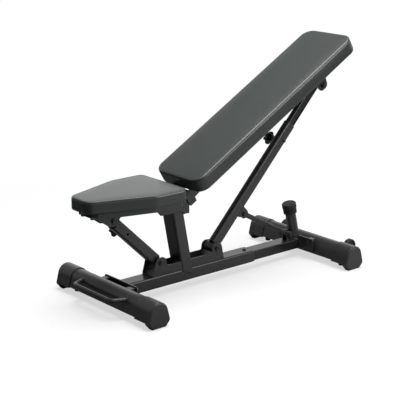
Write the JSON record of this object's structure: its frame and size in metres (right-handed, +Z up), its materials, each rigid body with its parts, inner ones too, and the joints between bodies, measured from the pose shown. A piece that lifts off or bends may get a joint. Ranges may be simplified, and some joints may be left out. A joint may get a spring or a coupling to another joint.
{
  "type": "adjustable weight bench",
  "caption": "Adjustable weight bench with a tapered seat, a long tilting back on a telescopic strut, a link-driven rear base, a rest post and transport wheels.",
  "frame": {"origin": "on the floor, under the middle of the bench's overall length and width", "axes": "+X towards the head end of the back, +Y to the side of the pull knobs, +Z up"},
  "size_m": [1.2494, 0.576, 0.8906],
  "materials": {
    "frame_paint": "satin black powder coat",
    "inner_paint": "satin black powder coat",
    "bolt_steel": "black finish",
    "cap_plastic": "matt black",
    "knob_plastic": "satin black",
    "foot_rubber": "matt black",
    "pad_vinyl": "smooth dark grey-green vinyl",
    "pad_board": "dark board"
  },
  "bodies": {
    "frame": {"front_base_tube": "frame_paint", "front_caps": "cap_plastic", "front_feet": "foot_rubber", "carry_handle": "frame_paint", "front_flange": "frame_paint", "front_flange_bolts": "bolt_steel", "main_beam": "frame_paint", "beam_collar": "cap_plastic", "beam_guide_screw": "bolt_steel", "saddle_bracket": "frame_paint", "seat_post": "frame_paint", "head_bracket": "frame_paint", "seat_hinge_bolt": "bolt_steel", "back_hinge_bolt": "bolt_steel", "seat_strut_foot_bolt": "bolt_steel", "back_strut_foot_bolt": "bolt_steel"},
    "rear_base": {"rear_beam": "inner_paint", "rear_flange": "frame_paint", "rear_flange_bolts": "bolt_steel", "rear_base_tube": "frame_paint", "rear_caps": "cap_plastic", "rear_feet": "foot_rubber", "link_bracket": "frame_paint", "link_bracket_bolts": "bolt_steel", "rest_post": "frame_paint", "rest_post_cap": "foot_rubber", "wheel_brackets": "frame_paint", "wheel_axles": "bolt_steel"},
    "link": {"link_bar": "frame_paint"},
    "strut_outer": {"strut_tube": "frame_paint", "strut_guide": "cap_plastic", "strut_pin_housing": "bolt_steel", "strut_guide_screw": "bolt_steel", "link_pivot_bolt": "bolt_steel"},
    "strut_inner": {"strut_inner_tube": "inner_paint", "strut_glide": "cap_plastic"},
    "back_lock": {"back_pin": "bolt_steel", "back_knob": "knob_plastic"},
    "back": {"back_rails": "frame_paint", "back_crossbars": "frame_paint", "back_hinge_plates": "frame_paint", "back_strut_ears": "frame_paint", "back_strut_bolt": "bolt_steel", "back_board": "pad_board", "back_pad": "pad_vinyl", "back_pad_screws": "bolt_steel"},
    "seat": {"seat_frame": "frame_paint", "seat_board": "pad_board", "seat_pad": "pad_vinyl", "seat_pad_screws": "bolt_steel", "seat_lug_bolt": "bolt_steel"},
    "seat_strut_outer": {"seat_strut_tube": "frame_paint", "seat_pin_housing": "bolt_steel"},
    "seat_strut_inner": {"seat_inner_tube": "inner_paint"},
    "seat_lock": {"seat_pin": "bolt_steel", "seat_knob": "knob_plastic"},
    "wheel_left": {"wheel_left": "foot_rubber"},
    "wheel_right": {"wheel_right": "foot_rubber"}
  },
  "joints": [
    {"name": "back_tilt", "type": "hinge", "parent": "frame", "child": "back", "pos_m": [-0.17168, 0, 0.37907], "axis": [0, -1, 0], "range_deg": [-30, 45]},
    {"name": "strut_swing", "type": "hinge", "parent": "frame", "child": "strut_outer", "pos_m": [-0.01224, 0, 0.1275], "axis": [0, -1, 0], "range_deg": [-26.28, 39.42]},
    {"name": "strut_extend", "type": "slide", "parent": "strut_outer", "child": "strut_inner", "axis": [0.686, 0, 0.7276], "range_m": [-0.1416, 0.2124]},
    {"name": "base_slide", "type": "slide", "parent": "frame", "child": "rear_base", "axis": [1, 0, 0], "range_m": [-0.1363, 0.0909]},
    {"name": "link_swing", "type": "hinge", "parent": "strut_outer", "child": "link", "pos_m": [0.14386, 0, 0.23184], "axis": [0, -1, 0], "range_deg": [-62.39, 41.59]},
    {"name": "back_lock_pull", "type": "slide", "parent": "strut_outer", "child": "back_lock", "axis": [0, 1, 0], "range_m": [0, 0.012], "stiffness_N_per_m": 300},
    {"name": "seat_tilt", "type": "hinge", "parent": "frame", "child": "seat", "pos_m": [-0.20224, 0, 0.358], "axis": [0, 1, 0], "range_deg": [0, 15]},
    {"name": "seat_strut_swing", "type": "hinge", "parent": "frame", "child": "seat_strut_outer", "pos_m": [-0.28424, 0, 0.129], "axis": [0, 1, 0], "range_deg": [0, 9.55]},
    {"name": "seat_strut_extend", "type": "slide", "parent": "seat_strut_outer", "child": "seat_strut_inner", "axis": [-0.7225, 0, 0.6914], "range_m": [0, 0.0563]},
    {"name": "seat_lock_pull", "type": "slide", "parent": "seat_strut_outer", "child": "seat_lock", "axis": [0, 1, 0], "range_m": [0, 0.012], "stiffness_N_per_m": 300},
    {"name": "wheel_left_spin", "type": "hinge", "parent": "rear_base", "child": "wheel_left", "pos_m": [0.56276, 0.182, 0.057], "axis": [0, 1, 0], "continuous": true},
    {"name": "wheel_right_spin", "type": "hinge", "parent": "rear_base", "child": "wheel_right", "pos_m": [0.56276, -0.182, 0.057], "axis": [0, 1, 0], "continuous": true}
  ],
  "couplings": [
    {"joint": "strut_swing", "follows": "back_tilt", "ratio": 0.87427},
    {"joint": "strut_extend", "follows": "back_tilt", "m_per_rad": 0.26996},
    {"joint": "base_slide", "follows": "back_tilt", "m_per_rad": -0.17325},
    {"joint": "link_swing", "follows": "back_tilt", "ratio": -1.3836},
    {"joint": "seat_strut_swing", "follows": "seat_tilt", "ratio": 0.63526},
    {"joint": "seat_strut_extend", "follows": "seat_tilt", "m_per_rad": 0.21452}
  ]
}
